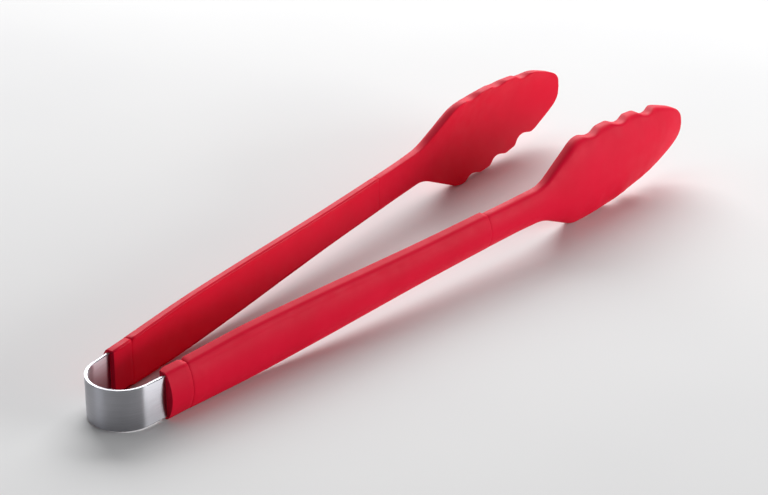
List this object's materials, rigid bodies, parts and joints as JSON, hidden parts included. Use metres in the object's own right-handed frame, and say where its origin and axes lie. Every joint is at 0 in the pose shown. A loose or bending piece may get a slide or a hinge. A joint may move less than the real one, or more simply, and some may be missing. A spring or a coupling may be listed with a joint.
{
  "type": "spring loaded kitchen tongs",
  "caption": "Kitchen tongs: two straight red silicone covered arms with scalloped spoon heads, sprung apart by a bent brushed steel band.",
  "frame": {"origin": "centre of the spring band's round bow, midway between the two arms and midway across their width", "axes": "+X forward along the centreline from the bow to the tips, +Y to the far arm, +Z across the width of the arms, up as the tongs stand on their edges"},
  "size_m": [0.2911, 0.0658, 0.0334],
  "materials": {
    "band_steel": "satin, brushed along the strip, bright cut edges",
    "core_nylon": "satin moulded nylon, red",
    "sleeve_silicone": "satin moulded silicone, red",
    "head_silicone": "satin moulded silicone, red",
    "pin_steel": "plain turned"
  },
  "bodies": {
    "spring": {"spring_band": "band_steel"},
    "far_arm": {"far_arm_core": "core_nylon", "far_handle_sleeve": "sleeve_silicone", "far_head_cover": "head_silicone", "far_lock_pin": "pin_steel"},
    "near_arm": {"near_arm_core": "core_nylon", "near_handle_sleeve": "sleeve_silicone", "near_head_cover": "head_silicone", "near_lock_pin": "pin_steel"}
  },
  "joints": [
    {"name": "far_arm_squeeze", "type": "hinge", "parent": "spring", "child": "far_arm", "pos_m": [0, 0.0093, 0], "axis": [0, 0, -1], "range_deg": [-3, 5.3], "stiffness_Nm_per_rad": 7.3, "deforming": ["spring_band"]},
    {"name": "near_arm_squeeze", "type": "hinge", "parent": "spring", "child": "near_arm", "pos_m": [0, -0.0093, 0], "axis": [0, 0, 1], "range_deg": [-3, 5.3], "stiffness_Nm_per_rad": 7.3, "deforming": ["spring_band"]}
  ],
  "couplings": [
    {"joint": "near_arm_squeeze", "follows": "far_arm_squeeze", "ratio": 1}
  ]
}
